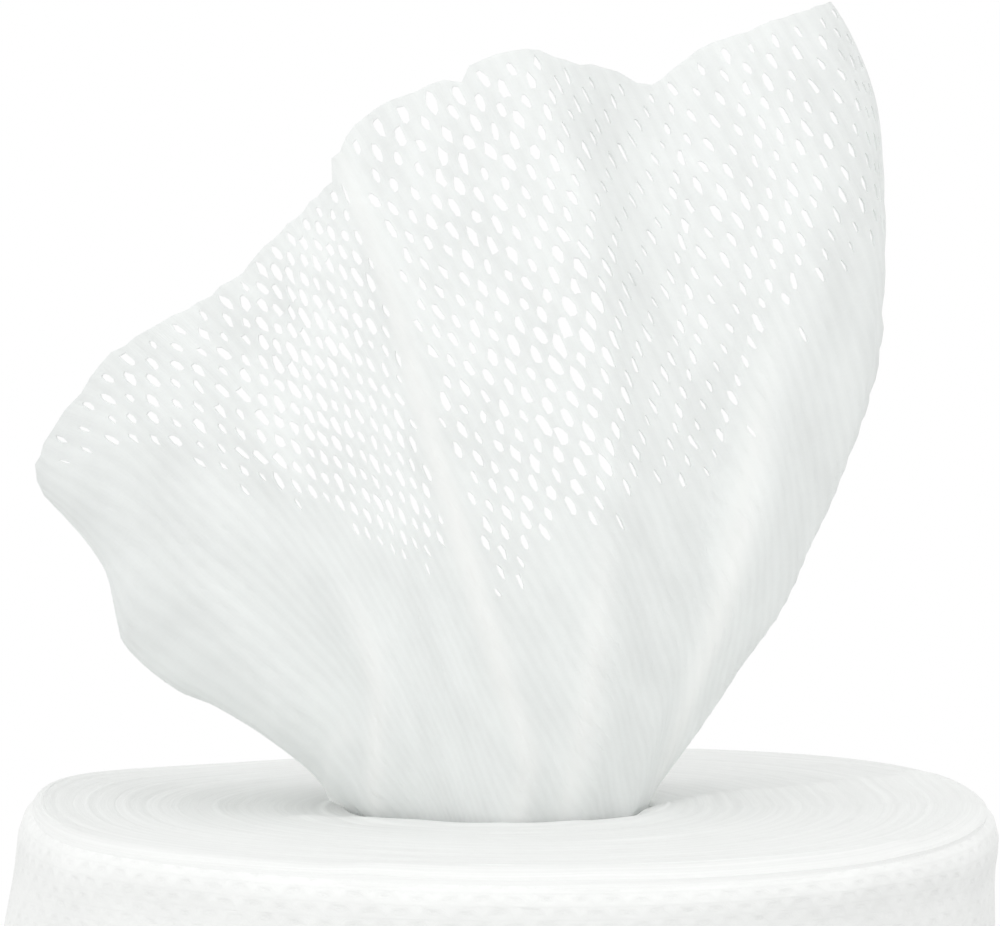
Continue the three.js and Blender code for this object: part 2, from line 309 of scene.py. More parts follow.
def curve_through(points, share):
    """The solid's smooth curve through a list of points, read at shares of its length in steps."""
    points = np.asarray(points, float)
    padded = np.vstack([2 * points[0] - points[1], points, 2 * points[-1] - points[-2]])
    place = np.clip(share, 0, 1) * (len(points) - 1)
    start = np.minimum(place.astype(int), len(points) - 2)
    t = (place - start)[..., None]
    a, b, c, d = (padded[start + k] for k in range(4))

    def gap(p, q):
        return np.sqrt(np.linalg.norm(q - p, axis=-1, keepdims=True)) + 1e-9

    ab, bc, cd = gap(a, b), gap(b, c), gap(c, d)
    out = ((b - a) / ab - (c - a) / (ab + bc) + (c - b) / bc) * bc
    back = ((c - b) / bc - (d - b) / (bc + cd) + (d - c) / cd) * bc
    return (
        b
        + out * t
        + (3 * (c - b) - 2 * out - back) * t**2
        + (2 * (b - c) + out + back) * t**3
    )


def values_through(values, share):
    """A smooth run of numbers, one a ray."""
    values = np.asarray(values, float)
    place = np.clip(share, 0, 1) * (len(values) - 1)
    start = np.minimum(place.astype(int), len(values) - 2)
    t = place - start
    a = values[np.maximum(start - 1, 0)]
    b, c = values[start], values[start + 1]
    d = values[np.minimum(start + 2, len(values) - 1)]
    return (
        b
        + (c - a) / 2 * t
        + (a - 2.5 * b + 2 * c - d / 2) * t**2
        + (1.5 * (b - c) + (d - a) / 2) * t**3
    )


def stiffened(moves):
    """Moves of a grid of points, evened out over their neighbours as stiff cloth does."""
    for _ in range(STIFF_ROUNDS):
        for axis, reach in enumerate(STIFF_REACH):
            widths = [(0, 0)] * 3
            widths[axis] = (reach, reach)
            padded = np.pad(moves, widths, mode="edge")
            window = np.lib.stride_tricks.sliding_window_view(padded, 2 * reach + 1, axis=axis)
            moves = window.mean(axis=-1)
    return moves


def ridge_rise(x, y):
    """Height of the ridges on the pulled end at a place."""
    rise = np.zeros(x.shape)
    for path, height, width in END_RIDGES:
        nearest = np.full(x.shape, np.inf)
        for (ax, ay), (bx, by) in zip(path, path[1:]):
            dx, dy = bx - ax, by - ay
            t = np.clip(((x - ax) * dx + (y - ay) * dy) / (dx * dx + dy * dy), 0, 1)
            nearest = np.minimum(nearest, np.hypot(x - ax - t * dx, y - ay - t * dy))
        rise += height * np.exp(-((nearest / width) ** 2))
    return rise


def put_in_scene(name, data):
    thing = bpy.data.objects.new(name, data)
    bpy.context.scene.collection.objects.link(thing)
    return thing


def round_axis(radius, angle, height):
    """Points at a radius, an angle and a height from the roll's axis."""
    return np.stack([radius * np.cos(angle), radius * np.sin(angle), height], axis=-1)


def unit(vectors):
    return vectors / np.maximum(np.linalg.norm(vectors, axis=-1, keepdims=True), 1e-9)


def make_piece(name, points, faces, web, material, slot, *nodes):
    """A mesh object from points in millimetres and faces as arrays of equal-sided faces.
    web holds each point's flat place on the web and, for a folded piece, how near it is to a crest."""
    used, packed = np.unique(np.concatenate([f.ravel() for f in faces]), return_inverse=True)
    sizes = np.concatenate([np.full(len(f), f.shape[1]) for f in faces])
    mesh = bpy.data.meshes.new(name)
    mesh.vertices.add(len(used))
    mesh.vertices.foreach_set("co", (points[used] * MM).astype(np.float32).ravel())
    mesh.loops.add(len(packed))
    mesh.loops.foreach_set("vertex_index", packed.astype(np.int32))
    mesh.polygons.add(len(sizes))
    mesh.polygons.foreach_set("loop_start", (np.cumsum(sizes) - sizes).astype(np.int32))
    layer = mesh.uv_layers.new(name="web")
    layer.uv.foreach_set("vector", (web[used][packed, :2] * MM).astype(np.float32).ravel())
    if web.shape[1] > 2:
        crest = mesh.attributes.new("crest", "FLOAT", "POINT")
        crest.data.foreach_set("value", web[used, 2].astype(np.float32))
    mesh.update(calc_edges=True)
    mesh.validate()
    mesh.shade_smooth()
    mesh.set_sharp_from_angle(angle=math.radians(CREASE_ANGLE))
    piece = put_in_scene(name, mesh)
    mesh.materials.append(material)
    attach(piece, "root")
    if nodes:
        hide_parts(*nodes)
    return piece


def rim_edges(triangles):
    """Directed edges that only one triangle has."""
    edges = np.concatenate([triangles[:, [0, 1]], triangles[:, [1, 2]], triangles[:, [2, 0]]])
    span = int(edges.max()) + 1
    there, back = edges[:, 0] * span + edges[:, 1], edges[:, 1] * span + edges[:, 0]
    return edges[~np.isin(there, back)]


def ring_template(corners):
    """Triangles between a brick-laid cell's six border points (0 to 5) and the hole's corners (6 on)."""
    border = np.unwrap(np.arctan2([-1, -1, 0, 1, 1, 0], [-1, 1, 1, 1, -1, -1]))
    hole = border[0] + np.arange(corners) * 2 * math.pi / corners
    triangles, b, h = [], 0, 0
    while b < 6 or h < corners:
        next_border = border[b + 1] if b < 5 else border[0] + 2 * math.pi
        next_hole = hole[h + 1] if h < corners - 1 else hole[0] + 2 * math.pi
        if b < 6 and (h == corners or next_border <= next_hole):
            triangles.append((b % 6, (b + 1) % 6, 6 + h % corners))
            b += 1
        else:
            triangles.append((b % 6, 6 + (h + 1) % corners, 6 + h % corners))
            h += 1
    return np.array(triangles)


def cell_border(i, j, rows):
    """Node numbers round the cell whose lowest left node is (i, j), anticlockwise on the sheet's face."""
    step = ((0, 0), (1, 0), (1, 1), (1, 2), (0, 2), (0, 1))
    return np.stack([(i + a) * rows + j + b for a, b in step], axis=1)


def round_rims(i, j, rows, rims):
    """Triangles between each cell's border and the rim of its hole."""
    cells = np.concatenate([cell_border(i, j, rows), rims], axis=1)
    return cells[:, ring_template(rims.shape[1])].reshape(-1, 3)


def round_middle(rims, middle):
    """Triangles between each rim and its middle point."""
    middles = np.repeat(middle[:, None], rims.shape[1], axis=1)
    return np.stack([rims, np.roll(rims, -1, axis=1), middles], axis=-1).reshape(-1, 3)


def hole_rims(nodes, i, j, corners, half_across, half_along, random):
    """Points round an oval hole in each cell, between the cell's nodes.
    Every hole has its own place, size and lean."""
    count = len(i)
    angles = np.arange(corners) * 2 * math.pi / corners - 3 * math.pi / 4
    size = random.uniform(*HOLE_SIZE, (count, 1))
    ragged = random.uniform(*RIM_SIZE, (count, corners))
    lean = random.uniform(-HOLE_LEAN, HOLE_LEAN, (count, 1))
    along = np.sin(angles) * half_along[:, None] * size * ragged
    across = np.cos(angles) * half_across[:, None] * size * ragged + along * lean
    x = 0.5 + across + random.uniform(-SHIFT_ACROSS, SHIFT_ACROSS, (count, 1))
    x = np.clip(x, KEEP_ACROSS, 1 - KEEP_ACROSS)
    y = 1 + along + random.uniform(-SHIFT_ALONG, SHIFT_ALONG, (count, 1))
    y = np.clip(y, KEEP_ALONG, 2 - KEEP_ALONG)
    upper = (y >= 1).astype(int)
    v = (y - upper)[..., None]
    u = x[..., None]
    row = j[:, None] + upper
    low = blend(nodes[i[:, None], row], nodes[i[:, None] + 1, row], u)
    high = blend(nodes[i[:, None], row + 1], nodes[i[:, None] + 1, row + 1], u)
    return blend(low, high, v)


class Value:
    """A shader socket whose sums add Math nodes."""

    def __init__(self, shader, socket):
        self.shader, self.socket = shader, socket

    def maths(self, operation, *values):
        return self.shader.add("ShaderNodeMath", {"operation": operation}, dict(enumerate(values)))

    def __add__(self, other):
        return self.maths("ADD", self, other)

    __radd__ = __add__

    def __mul__(self, other):
        return self.maths("MULTIPLY", self, other)

    __rmul__ = __mul__

    def __sub__(self, other):
        return self.maths("SUBTRACT", self, other)


class Shader:
    """One material's nodes."""

    def __init__(self, name, world=None):
        owner = world or bpy.data.materials.new(name)
        owner.use_nodes = True
        self.owner, self.tree = owner, owner.node_tree
        self.tree.nodes.clear()

    def add(self, kind, settings=None, inputs=None, output=0):
        """Adds a node, sets it up, fills its sockets and returns one of its outputs."""
        node = self.tree.nodes.new(kind)
        for name, value in (settings or {}).items():
            setattr(node, name, value)
        for name, value in (inputs or {}).items():
            if isinstance(value, Value):
                self.tree.links.new(value.socket, node.inputs[name])
            else:
                node.inputs[name].default_value = value
        return Value(self, node.outputs[output]) if node.outputs else None

    def web_place(self, across, along):
        """The flat place on the web, counted in steps of so many millimetres."""
        place = self.add("ShaderNodeUVMap", {"uv_map": "web"})
        steps = (1 / (across * MM), 1 / (along * MM), 1)
        return self.add("ShaderNodeVectorMath", {"operation": "MULTIPLY"}, {0: place, 1: steps})

    def noise(self, place, detail=2.0, roughness=0.5):
        inputs = {"Vector": place, "Scale": 1.0, "Detail": detail, "Roughness": roughness}
        return self.add("ShaderNodeTexNoise", {"noise_dimensions": "2D"}, inputs)

    def two_tone(self, share, dark, light):
        settings = {"data_type": "RGBA", "clamp_factor": True}
        return self.add("ShaderNodeMix", settings, {0: share, 6: dark, 7: light}, 2)


def opaque(colour, level=1.0):
    return (*(channel * level for channel in colour), 1.0)


def nonwoven(name, colour, row_step, relief, see_through=0.0):
    """Matt white fibre web: fine fibres, denser ribs between the rows of holes, and clouds.
    The crests of the steep folds carry a painted highlight, nearly white."""
    shader = Shader(name)
    fibres = shader.noise(shader.web_place(*FIBRES), 3.0, 0.6)
    cross = shader.noise(shader.web_place(*CROSS_FIBRES), 2.0, 0.6)
    clouds = shader.noise(shader.web_place(*CLOUDS), 3.0, 0.55)
    rows = shader.web_place(row_step / MM / (2 * math.pi), 1)
    across = shader.add("ShaderNodeSeparateXYZ", None, {0: rows})
    ribs = across.maths("COSINE", across)
    tone = fibres * FIBRE_TONE + cross * CROSS_TONE + clouds * CLOUD_TONE - ribs * RIB_TONE - TONE_START
    base = shader.two_tone(tone, opaque(colour, DARK_TONE), opaque(colour, LIGHT_TONE))
    # Painted highlight: near the crest of a steep fold the colour is painted lighter, towards nearly white.
    crest = shader.add("ShaderNodeAttribute", {"attribute_name": "crest"}, None, 2)
    base = shader.two_tone(crest * crest * CREST_HIGHLIGHT_TONE, base, opaque(CREST_HIGHLIGHT_COLOUR))
    height = fibres * FIBRE_RELIEF + cross * CROSS_RELIEF
    bump = shader.add("ShaderNodeBump", None, {"Strength": 1.0, "Distance": relief * MM, "Height": height})
    surface = shader.add(
        "ShaderNodeBsdfPrincipled",
        None,
        {
            "Base Color": base,
            "Roughness": WEB_ROUGHNESS + clouds * CLOUD_ROUGHNESS,
            "Specular IOR Level": 0.2,
            "Sheen Weight": 0.1,
            "Sheen Roughness": 0.6,
            "Normal": bump,
        },
    )
    if see_through:
        behind = shader.add("ShaderNodeBsdfTranslucent", None, {"Color": base, "Normal": bump})
        surface = shader.add("ShaderNodeMixShader", None, {0: see_through, 1: surface, 2: behind})
    shader.add("ShaderNodeOutputMaterial", None, {"Surface": surface})
    return shader.owner


def settled(points):
    """The slipped left shoulder and the uneven pulled end, much as on the solid."""
    x, y, z = points.T
    radius, angle = np.hypot(x, y), np.arctan2(y, x)
    high = np.clip(1 - (ROLL_HEIGHT - z) / SLIP_REACH, 0, 1)
    to_slip = np.maximum(0, np.cos(angle - math.radians(SLIP_ANGLE))) ** SLIP_FOCUS
    outward = np.maximum(0, radius - BORE_RADIUS) / (ROLL_RADIUS - BORE_RADIUS)
    over = np.clip(1 - (ROLL_RADIUS - radius - SLIP_RIM) / SHOULDER_RADIUS, 0, 1)
    slip = 1 - (SHOULDER_SLIP / ROLL_RADIUS) * high * to_slip * over
    from_hump = angle - math.radians(HUMP_ANGLE)
    swell = END_TILT * np.cos(from_hump) + END_SADDLE * np.cos(2 * from_hump)
    for middle, height, width in END_SWELLS:
        away = np.degrees(np.arccos(np.cos(angle - math.radians(middle))))
        swell = swell + height * outward * np.exp(-((away / width) ** 2))
    top = smooth(z, ROLL_HEIGHT - 2 * SHOULDER_RADIUS, ROLL_HEIGHT)
    return np.stack([x * slip, y * slip, z + swell * outward * top], axis=1)


def side_outline(along, turn):
    """Radius, height and outward direction on the outer turn.
    It runs over both shoulders and down the side, from the upper edge on."""
    rim = SHOULDER_RADIUS * (math.pi / 2 - WRAP_LEAN)
    side = ROLL_HEIGHT - 2 * SHOULDER_RADIUS
    lean = WRAP_LEAN + np.clip(along / SHOULDER_RADIUS, 0, math.pi / 2 - WRAP_LEAN)
    lean = lean + np.clip((along - rim - side) / SHOULDER_RADIUS, 0, math.pi / 2 - WRAP_LEAN)
    height = ROLL_HEIGHT - SHOULDER_RADIUS - np.clip(along - rim, 0, side)
    height = height + SHOULDER_RADIUS * np.cos(lean)
    radius = ROLL_RADIUS - SHOULDER_RADIUS * (1 - np.sin(lean))
    clear = smooth(np.minimum(height, ROLL_HEIGHT - height), SHOULDER_RADIUS, 2 * SHOULDER_RADIUS)
    swell = np.sin(math.pi * height / ROLL_HEIGHT) * SIDE_BULGE
    wave = 1 + 0.5 * np.sin(height / LIFT_WAVE)
    lift = TAIL_LIFT * np.exp(-turn * 2 * math.pi * ROLL_RADIUS / LIFT_REACH) * wave
    slack = sum(
        rise * value_noise(turn * rate + start, height / length, seed)
        for rise, rate, start, length, seed in SLACK
    )
    radius = radius + (swell - TAIL_STEP * turn + lift + slack) * clear
    return radius, height, lean


def end_outline(along):
    """Point and outward direction on the outline of an end.
    It runs from the bore over the lip, across the end and over the shoulder."""
    lip = LIP_RADIUS * math.pi / 2
    turn_in = np.clip(along / LIP_RADIUS, 0, math.pi / 2)
    turn_out = np.clip((along - lip - END_FLAT) / SHOULDER_RADIUS, 0, math.pi / 2)
    run = np.clip(along - lip, 0, END_FLAT)
    radius = BORE_RADIUS + LIP_RADIUS * (1 - np.cos(turn_in)) + run + SHOULDER_RADIUS * np.sin(turn_out)
    height = LIP_RADIUS * (np.sin(turn_in) - 1) - SHOULDER_RADIUS * (1 - np.cos(turn_out))
    lean = turn_out - (math.pi / 2 - turn_in)
    return np.stack([radius, height]), np.stack([np.sin(lean), np.cos(lean)])


class WebSettings(bpy.types.PropertyGroup):
    colour: FloatVectorProperty(
        name="Web colour", description="Colour of the roll", subtype="COLOR", default=(0.865, 0.875, 0.863)
    )
    single_colour: FloatVectorProperty(
        name="Single layer colour", description="Colour of the loose layer", subtype="COLOR",
        default=(0.935, 0.948, 0.941),
    )
    thickness: FloatProperty(
        name="Web thickness", description="Thickness of one layer", unit="LENGTH", subtype="DISTANCE",
        default=0.0003,
    )
    hole_width: FloatProperty(
        name="Hole width", description="Width of an aperture across the web", unit="LENGTH", default=0.00095
    )
    hole_length: FloatProperty(
        name="Hole length", description="Length of an aperture along the web", unit="LENGTH", default=0.0024
    )
    row_step: FloatProperty(
        name="Row step", description="Distance between rows of apertures", unit="LENGTH", default=0.0018
    )
    hole_step: FloatProperty(
        name="Hole step", description="Distance between apertures along a row", unit="LENGTH", default=0.004
    )


class RollSettings(bpy.types.PropertyGroup):
    turns: IntProperty(
        name="Turns", description="Turns of the web between the hole and the outside", default=97, min=8
    )
    groove: FloatProperty(
        name="Groove", description="Depth between the edges of two turns", unit="LENGTH", default=0.00007
    )
    unevenness: FloatProperty(
        name="Unevenness", description="How far groups of turns stand out", unit="LENGTH", default=0.0002
    )
    columns: IntProperty(name="Columns", description="Steps round the roll", default=180, min=24)
    pit_depth: FloatProperty(
        name="Pit depth", description="Depth of an aperture in the outer turn", unit="LENGTH", default=0.0001
    )


class WipeSettings(bpy.types.PropertyGroup):
    width: FloatProperty(name="Wipe width", description="Side of the square wipe", unit="LENGTH", default=0.2)
    front_gather: FloatProperty(
        name="Front gathers", description="Depth of the gathers at the front", unit="LENGTH", default=0.0009
    )
    back_gather: FloatProperty(
        name="Back gathers", description="Depth of the gathers at the back", unit="LENGTH", default=0.0052
    )
    crumple: FloatProperty(
        name="Crumple", description="Height of the soft dents in the wipe", unit="LENGTH", default=0.0006
    )
    settling: IntProperty(
        name="Settling", description="Rounds in which the cloth finds its own length", default=160
    )


class StageSettings(bpy.types.PropertyGroup):
    dome: FloatProperty(name="Dome", description="Strength of the even light", default=1.06)
    key: FloatProperty(
        name="Key", description="Power of the broad lamp at the front left", unit="POWER", default=10.0
    )
    fill: FloatProperty(name="Fill", description="Power of the lamp at the right", unit="POWER", default=4.5)
    distance: FloatProperty(
        name="Camera distance", description="From the camera to the mouth", unit="LENGTH", default=1.4
    )
    elevation: FloatProperty(
        name="Camera elevation", description="Angle of the view above level, in degrees", default=5.4
    )


class WIPES_OT_wound_body(bpy.types.Operator):
    """Makes the wound roll under its outer turn: both ends with their turns, the hole and its lips."""

    bl_idname = "wipes.wound_body"
    bl_label = "Wound body"

    def execute(self, context):
        roll, web = context.scene.wipes_roll, context.scene.wipes_web
        length = end_length()
        angle = np.arange(roll.columns) / roll.columns * 2 * math.pi
        turn, along, crest = self.spiral(roll, length)
        rise, groove, spot, out = self.end_relief(roll, web, length, turn, along, crest, angle)
        ring_top = (spot[0] + out[0] * rise, ROLL_HEIGHT + spot[1] + out[1] * rise)
        ring_base = (spot[0] + out[0] * groove, -(spot[1] + out[1] * groove))
        side = ROLL_RADIUS - TAIL_STEP - web.thickness / MM - BODY_CLEARANCE
        heights = np.linspace(ROLL_HEIGHT - 2 * SHOULDER_RADIUS, 2 * SHOULDER_RADIUS, SIDE_ROWS)
        wall = np.linspace(BORE_INSET, ROLL_HEIGHT - BORE_INSET, BORE_ROWS)
        ring = np.ones((1, roll.columns))
        sides = np.full((SIDE_ROWS, roll.columns), side)
        bore = np.full((BORE_ROWS, roll.columns), BORE_RADIUS)
        radius = np.vstack([ring_top[0], sides, ring_base[0][::-1], bore])
        height = np.vstack([ring_top[1], heights[:, None] * ring, ring_base[1][::-1], wall[:, None] * ring])
        points = settled(round_axis(radius, angle, height).reshape(-1, 3))
        number = np.arange(radius.size).reshape(radius.shape)
        # A turn's spiral has moved on by one turn, two rows, when it comes back to the first column.
        here = np.concatenate([number, joined(number, len(along))], axis=1)
        quads = grid_quads(np.vstack([here, here[:1]]))
        run = np.cumsum(np.append(0, np.hypot(np.diff(radius[:, 0]), np.diff(height[:, 0]))))
        place = np.stack([run[:, None] * ring, radius * angle], axis=-1).reshape(-1, 2)
        place[: turn.size, 1] += (turn * WEB_SHIFT).ravel()
        material = nonwoven("wound_web", web.colour, web.row_step, WOUND_RELIEF)
        make_piece("wound_body", points, [quads[:, ::-1]], place, material, "wound_web", "wound_roll")
        return {"FINISHED"}

    @staticmethod
    def spiral(roll, length):
        """Turn and place along an end's outline of each node, and how far each row is from the groove.
        A turn has two rows of nodes, one in the groove and one half a turn on, at its crest."""
        share = np.arange(roll.columns) / roll.columns
        band = np.repeat(np.arange(-1, roll.turns), 2)
        crest = np.tile([0.0, 0.5], roll.turns + 1)
        turn = band[:, None] + share[None, :] + crest[:, None]
        along = np.clip(turn * (length / roll.turns), 0, length)
        along = np.vstack([along, np.full((1, roll.columns), length)])
        turn = np.vstack([turn, turn[-1:] + 0.5])
        return turn, along, np.append(crest, 0.0)[:, None]

    @staticmethod
    def end_relief(roll, web, length, turn, along, crest, angle):
        """How far the nodes of the upper and of the lower end stand out, their outline and its direction."""
        fade = np.minimum(1, np.minimum(along, length - along) / (2 * (length / roll.turns)))
        spot, out = end_outline(along)
        groove = np.where(crest == 0, -roll.groove / MM, 0) * fade
        # The whole numbers added here only choose other places on the noise's lattice.
        broad = value_noise(along / GROUP_WIDTHS[0] + 9, 3 * np.sin(angle) + 7, 5)
        broad = broad * 0.6 + 0.4 * value_noise(along / GROUP_WIDTHS[1], 4 * np.cos(angle) + 11, 6)
        fine = value_noise(turn * TURN_RATE + 5, np.float64(0.5), 7)
        rise = groove + (broad * roll.unevenness / MM + fine * TURN_RISE) * fade
        rise += ridge_rise(spot[0] * np.cos(angle), spot[0] * np.sin(angle)) * fade
        wrapped = length - SHOULDER_RADIUS * (math.pi / 2 - WRAP_LEAN)
        under = smooth(along, wrapped + SINK_FROM, wrapped + SINK_TO) * (web.thickness / MM + SINK_MORE)
        return rise - under, groove - under, spot, out


def joined(number, end_rows):
    """The first column again, as the last column of a spiral end meets it."""
    again = number[:, :1].copy()
    top = np.minimum(np.arange(end_rows) + 2, end_rows - 1)
    again[:end_rows, 0] = number[top, 0]
    last = len(number) - BORE_ROWS
    base = np.maximum(np.arange(last - end_rows, last) - 2, last - end_rows)
    again[last - end_rows : last, 0] = number[base, 0]
    return again


def end_length():
    """Length of an end's outline, from the bore to the side."""
    return (LIP_RADIUS + SHOULDER_RADIUS) * math.pi / 2 + END_FLAT


def grid_quads(number):
    a, b, c, d = number[:-1, :-1], number[:-1, 1:], number[1:, 1:], number[1:, :-1]
    return np.stack([a, b, c, d], axis=-1).reshape(-1, 4)


class WIPES_OT_outer_turn(bpy.types.Operator):
    """Makes the outer turn of the web, with a pit at every aperture and its loose end at the back."""

    bl_idname = "wipes.outer_turn"
    bl_label = "Outer turn"

    def execute(self, context):
        roll, web = context.scene.wipes_roll, context.scene.wipes_web
        random = np.random.default_rng(31)
        length = ROLL_HEIGHT - SHOULDER_RADIUS * (2 - math.pi + 2 * WRAP_LEAN)
        rows = round(length / (web.row_step / MM))
        steps = 2 * round(2 * math.pi * ROLL_RADIUS / (web.hole_step / MM))
        turn = np.linspace(0, OUTER_TURNS, steps + 1)
        run = np.linspace(0, length, rows + 1)
        outer = self.skin(turn, run, 0.0)
        nodes = outer.reshape(rows + 1, steps + 1, 3)
        number = np.arange(nodes.size // 3).reshape(rows + 1, steps + 1)
        count = number.size
        i, j = brick_cells(rows, steps)
        half_across = np.full(len(i), web.hole_width / web.row_step / 2)
        half_along = np.full(len(i), web.hole_length / web.hole_step)
        rims = hole_rims(nodes, i, j, PIT_CORNERS, half_across, half_along, random)
        centre = rims.mean(axis=1)
        inward = unit(centre * (1, 1, 0)) * -roll.pit_depth / MM
        points = np.concatenate([outer, rims.reshape(-1, 3), centre + inward])
        rim_number = count + np.arange(len(i) * PIT_CORNERS).reshape(-1, PIT_CORNERS)
        middle = count + rim_number.size + np.arange(len(i))
        faces = round_rims(i, j, steps + 1, rim_number)
        skin = np.concatenate([faces, round_middle(rim_number, middle), half_cells(number)])
        border = np.concatenate([number[0, :], number[1:, -1], number[-1, -2::-1], number[-2:0:-1, 0]])
        inner = len(points) + np.arange(len(border))
        lift = self.skin(turn, run, web.thickness / MM)[border]
        points = np.concatenate([points, lift])
        wall = np.stack([border, inner, np.roll(inner, -1), np.roll(border, -1)], axis=1)
        top = inner[: steps + 1]
        base = inner[steps + rows : 2 * steps + rows + 1][::-1]
        back = np.stack([top[1:-2], top[2:-1], base[2:-1], base[1:-2]], axis=1)
        ends = [
            np.concatenate([[top[0], top[1], base[1], base[0]], inner[2 * steps + rows + 1 :]])[None],
            np.concatenate([[top[-2]], inner[steps : steps + rows + 1], [base[-2]]])[None],
        ]
        flat = np.stack(np.meshgrid(run, turn * 2 * math.pi * ROLL_RADIUS, indexing="ij"), axis=-1)
        rim_flat = np.repeat(flat[i + 1, j + 1], PIT_CORNERS, axis=0)
        flat_nodes = flat.reshape(-1, 2)
        web_place = np.concatenate([flat_nodes, rim_flat, flat[i, j + 1], flat_nodes[border]])
        material = nonwoven("outer_web", web.colour, web.row_step, OUTER_RELIEF)
        make_piece("outer_turn", points, [skin, wall, back, *ends], web_place, material, "wound_web")
        return {"FINISHED"}

    @staticmethod
    def skin(turn, run, depth):
        """Points on the outer turn, depth below its face, with both edges tucked in between the turns."""
        turn, run = np.meshgrid(turn, run)
        depth = depth + EDGE_TUCK * np.exp(-np.minimum(run, run.max() - run) / TUCK_REACH)
        radius, height, lean = side_outline(run, turn)
        radius, height = radius - depth * np.sin(lean), height - depth * np.cos(lean)
        angle = math.radians(TAIL_ANGLE) + turn * 2 * math.pi
        return settled(round_axis(radius, angle, height).reshape(-1, 3))


def brick_cells(across, along):
    """Lowest left nodes of the cells, laid like bricks."""
    cells = [(i, j) for i in range(across) for j in range(i % 2, along - 1, 2)]
    return np.array(cells).T


def half_cells(number):
    """Triangles of the plain half cells at both ends of every second row."""
    spots = [(i, j) for i in range(1, number.shape[0] - 1, 2) for j in (0, number.shape[1] - 2)]
    i, j = np.array(spots).T
    a, b, c, d = number[i, j], number[i + 1, j], number[i + 1, j + 1], number[i, j + 1]
    return np.concatenate([np.stack([a, b, c], axis=1), np.stack([a, c, d], axis=1)])


